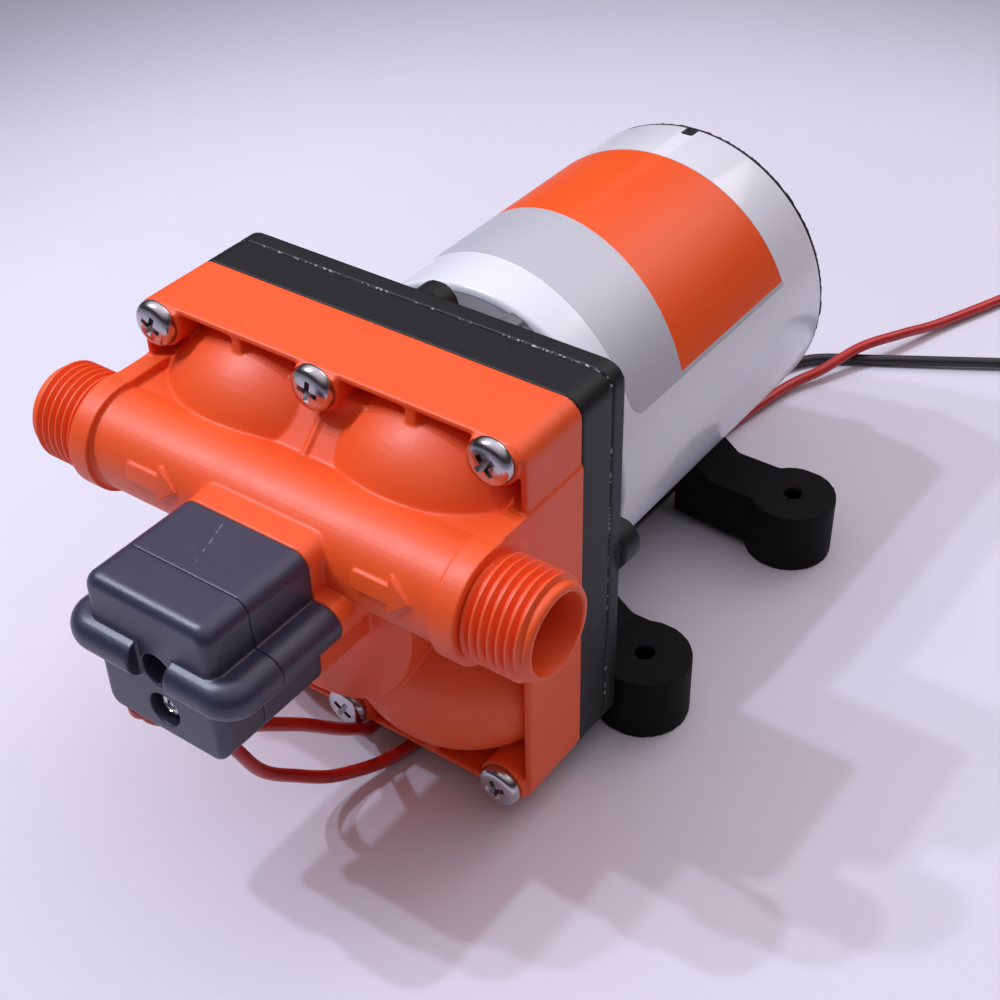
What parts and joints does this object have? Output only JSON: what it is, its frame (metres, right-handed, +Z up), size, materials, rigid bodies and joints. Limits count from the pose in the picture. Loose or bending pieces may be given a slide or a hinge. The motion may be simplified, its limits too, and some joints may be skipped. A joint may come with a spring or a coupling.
{
  "type": "diaphragm water pump",
  "caption": "Caravan water pump: orange threaded head with a pressure switch, black plates, white motor can and rubber feet, with red and black leads.",
  "frame": {"origin": "on the floor, at the middle of the pattern of four foot holes", "axes": "+X across the pump to the outlet port, +Y back along the motor, +Z up"},
  "size_m": [0.1409, 0.3321, 0.0957],
  "materials": {
    "orange_plastic": "moulded orange plastic, satin",
    "black_plastic": "moulded black plastic, satin",
    "switch_plastic": "moulded blue-black plastic, satin",
    "chrome_screw": "bright chromed steel",
    "steel": "plain steel",
    "white_paint": "glossy white enamel on steel, with a plain orange panel and a plain silver band",
    "grey_casting": "die-cast aluminium, dull",
    "black_paint": "black enamel on pressed steel",
    "foot_rubber": "moulded black rubber, matt",
    "valve_rubber": "soft black rubber",
    "red_sleeve": "red insulation",
    "black_sleeve": "black insulation",
    "white_plastic": "white engineering plastic",
    "brown_board": "brown laminate",
    "copper": "enamelled copper",
    "brass": "brass",
    "core_iron": "stacked iron sheets",
    "ferrite": "ferrite magnet",
    "carbon": "pressed carbon"
  },
  "bodies": {
    "base": {"pump_head": "orange_plastic", "head_seal": "valve_rubber", "valve_plate": "black_plastic", "inlet_valves": "valve_rubber", "outlet_valve": "valve_rubber", "diaphragm": "valve_rubber", "drive_housing": "black_plastic", "head_screws": "chrome_screw", "front_bell": "grey_casting", "front_bearing": "steel", "motor_can": "white_paint", "magnets": "ferrite", "brush_card": "brown_board", "brushes": "carbon", "brush_springs": "brass", "rear_end_cap": "black_plastic", "rear_bearing": "brass", "motor_bolts": "steel", "lead_grommets": "foot_rubber", "mount_bracket": "black_paint", "foot_front_left": "foot_rubber", "foot_front_right": "foot_rubber", "foot_rear_left": "foot_rubber", "foot_rear_right": "foot_rubber", "switch_base": "switch_plastic", "switch_cover": "switch_plastic", "switch_diaphragm": "valve_rubber", "plunger_spring": "steel", "cover_screw": "chrome_screw", "microswitch": "black_plastic", "switch_terminals": "brass", "terminal_sleeves": "red_sleeve", "switch_lead": "red_sleeve", "supply_lead": "red_sleeve", "return_lead": "black_sleeve"},
    "rotor": {"motor_shaft": "steel", "armature_core": "core_iron", "armature_winding": "copper", "commutator": "copper", "eccentric_hub": "grey_casting", "hub_set_screw": "steel"},
    "wobble": {"wobble_plate": "white_plastic", "hub_bearing": "steel", "pistons": "white_plastic", "piston_screws": "steel"},
    "plunger": {"switch_plunger": "white_plastic"},
    "button": {"microswitch_button": "red_sleeve"},
    "adjuster": {"adjusting_screw": "steel"}
  },
  "joints": [
    {"name": "rotor_spin", "type": "hinge", "parent": "base", "child": "rotor", "pos_m": [0, 0, 0.0506], "axis": [0, 1, 0], "continuous": true},
    {"name": "wobble_rock", "type": "hinge", "parent": "rotor", "child": "wobble", "pos_m": [0, -0.0365, 0.0506], "axis": [0, 0.9976, 0.0698], "continuous": true},
    {"name": "plunger_push", "type": "slide", "parent": "base", "child": "plunger", "axis": [0, -1, 0], "range_m": [0, 0.0008], "stiffness_N_per_m": 800, "deforming": ["plunger_spring"]},
    {"name": "button_press", "type": "slide", "parent": "base", "child": "button", "axis": [0, -1, 0], "range_m": [0, 0.0008]},
    {"name": "adjuster_turn", "type": "hinge", "parent": "base", "child": "adjuster", "pos_m": [0.003, -0.1183, 0.0609], "axis": [0, 1, 0], "range_deg": [-360, 360]}
  ],
  "couplings": [
    {"joint": "wobble_rock", "follows": "rotor_spin", "ratio": -1},
    {"joint": "button_press", "follows": "plunger_push", "ratio": 1}
  ]
}
